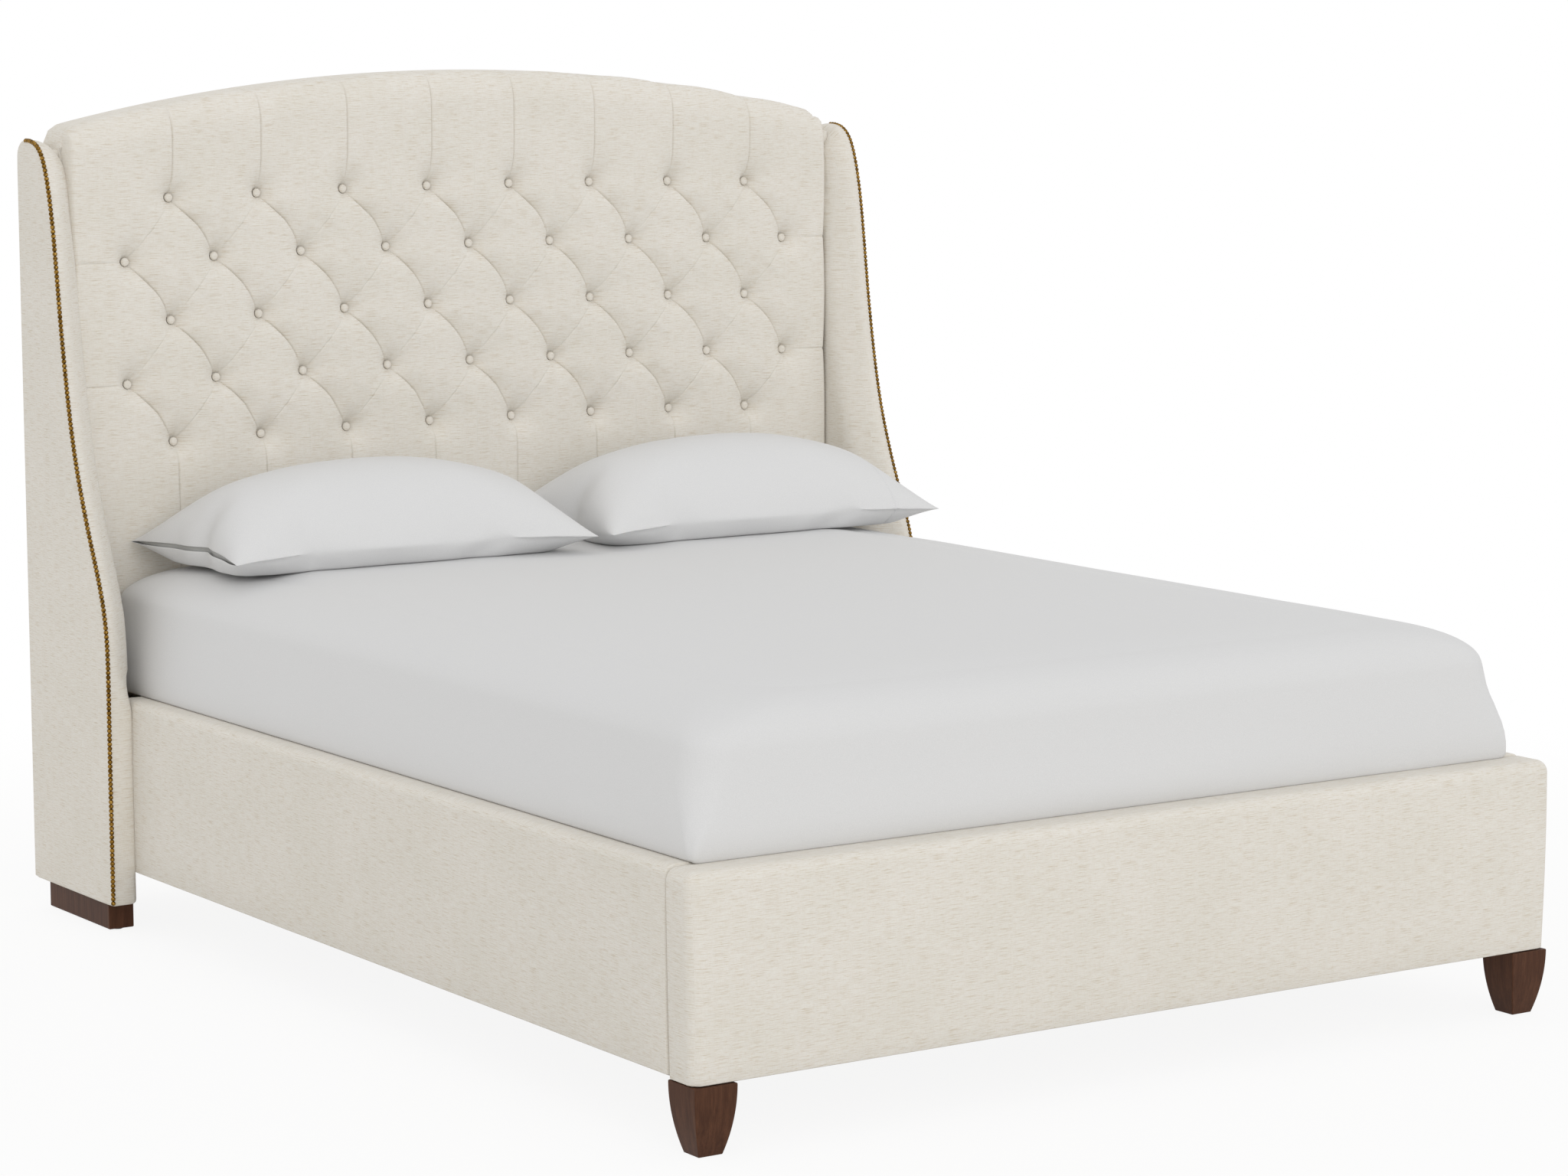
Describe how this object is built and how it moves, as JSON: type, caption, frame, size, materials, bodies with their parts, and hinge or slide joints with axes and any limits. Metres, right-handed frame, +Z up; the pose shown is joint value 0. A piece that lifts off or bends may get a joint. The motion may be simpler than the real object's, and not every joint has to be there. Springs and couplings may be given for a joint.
{
  "type": "upholstered wingback bed",
  "caption": "Wingback bed with an arched, button-tufted headboard, nailhead-trimmed wings, padded rails, slatted base, sheeted mattress and pillows.",
  "frame": {"origin": "on the floor, in the middle of the bed's length and width", "axes": "+Z up, +Y from the foot to the headboard, +X to the right seen from the foot"},
  "size_m": [1.7906, 2.218, 1.546],
  "materials": {
    "linen": "matte",
    "walnut_stain": "satin",
    "antique_brass": "satin",
    "zinc_steel": "satin",
    "pine": "matte",
    "plywood": "matte",
    "nylon": "matte",
    "sheet_cotton": "matte",
    "ticking": "matte"
  },
  "bodies": {
    "frame": {"footboard_board": "pine", "footboard_cover": "linen", "front_leg_left": "walnut_stain", "front_leg_right": "walnut_stain", "leg_hanger_bolts": "zinc_steel", "side_rail_board_left": "pine", "side_rail_board_right": "pine", "side_rail_cover_left": "linen", "side_rail_cover_right": "linen", "slat_cleat_left": "pine", "slat_cleat_right": "pine", "foot_bracket_left": "zinc_steel", "foot_bracket_right": "zinc_steel", "head_bracket_left": "zinc_steel", "head_bracket_right": "zinc_steel", "bracket_bolts": "zinc_steel", "slats": "pine", "slat_screws": "zinc_steel", "centre_beam": "pine", "beam_hanger_foot": "zinc_steel", "beam_hanger_head": "zinc_steel", "centre_leg_bolts": "zinc_steel", "centre_leg_front": "pine", "centre_leg_middle": "pine", "centre_leg_back": "pine", "centre_leg_inserts": "zinc_steel", "headboard_post_left": "pine", "headboard_post_right": "pine", "headboard_arch_rail": "pine", "headboard_middle_rail": "pine", "headboard_bottom_rail": "pine", "headboard_stiles": "pine", "frame_dowels": "pine", "headboard_face_panel": "plywood", "headboard_lower_board": "linen", "headboard_back_panel": "linen", "headboard_top_band": "linen", "headboard_pad": "linen", "tuft_buttons": "linen", "wing_core_left": "plywood", "wing_core_right": "plywood", "wing_pad_left": "linen", "wing_pad_right": "linen", "nail_trim_left": "antique_brass", "nail_trim_right": "antique_brass", "wing_foot_left": "walnut_stain", "wing_foot_right": "walnut_stain", "wing_foot_glides": "nylon", "wing_foot_screws": "zinc_steel", "wing_bolts": "zinc_steel"},
    "mattress": {"mattress_core": "ticking", "fitted_sheet": "sheet_cotton"},
    "pillow_left": {"pillow_filling_left": "ticking", "pillowcase_left": "sheet_cotton"},
    "pillow_right": {"pillow_filling_right": "ticking", "pillowcase_right": "sheet_cotton"},
    "glide_front": {"glide_front": "zinc_steel"},
    "glide_middle": {"glide_middle": "zinc_steel"},
    "glide_back": {"glide_back": "zinc_steel"}
  },
  "joints": [
    {"name": "mattress_lift", "type": "slide", "parent": "frame", "child": "mattress", "axis": [0, 0, 1], "range_m": [0, 0.3]},
    {"name": "pillow_left_lift", "type": "slide", "parent": "mattress", "child": "pillow_left", "axis": [0, 0, 1], "range_m": [0, 0.25]},
    {"name": "pillow_right_lift", "type": "slide", "parent": "mattress", "child": "pillow_right", "axis": [0, 0, 1], "range_m": [0, 0.25]},
    {"name": "glide_front_adjust", "type": "slide", "parent": "frame", "child": "glide_front", "axis": [0, 0, 1], "range_m": [-0.012, 0.012]},
    {"name": "glide_middle_adjust", "type": "slide", "parent": "frame", "child": "glide_middle", "axis": [0, 0, 1], "range_m": [-0.012, 0.012]},
    {"name": "glide_back_adjust", "type": "slide", "parent": "frame", "child": "glide_back", "axis": [0, 0, 1], "range_m": [-0.012, 0.012]}
  ]
}
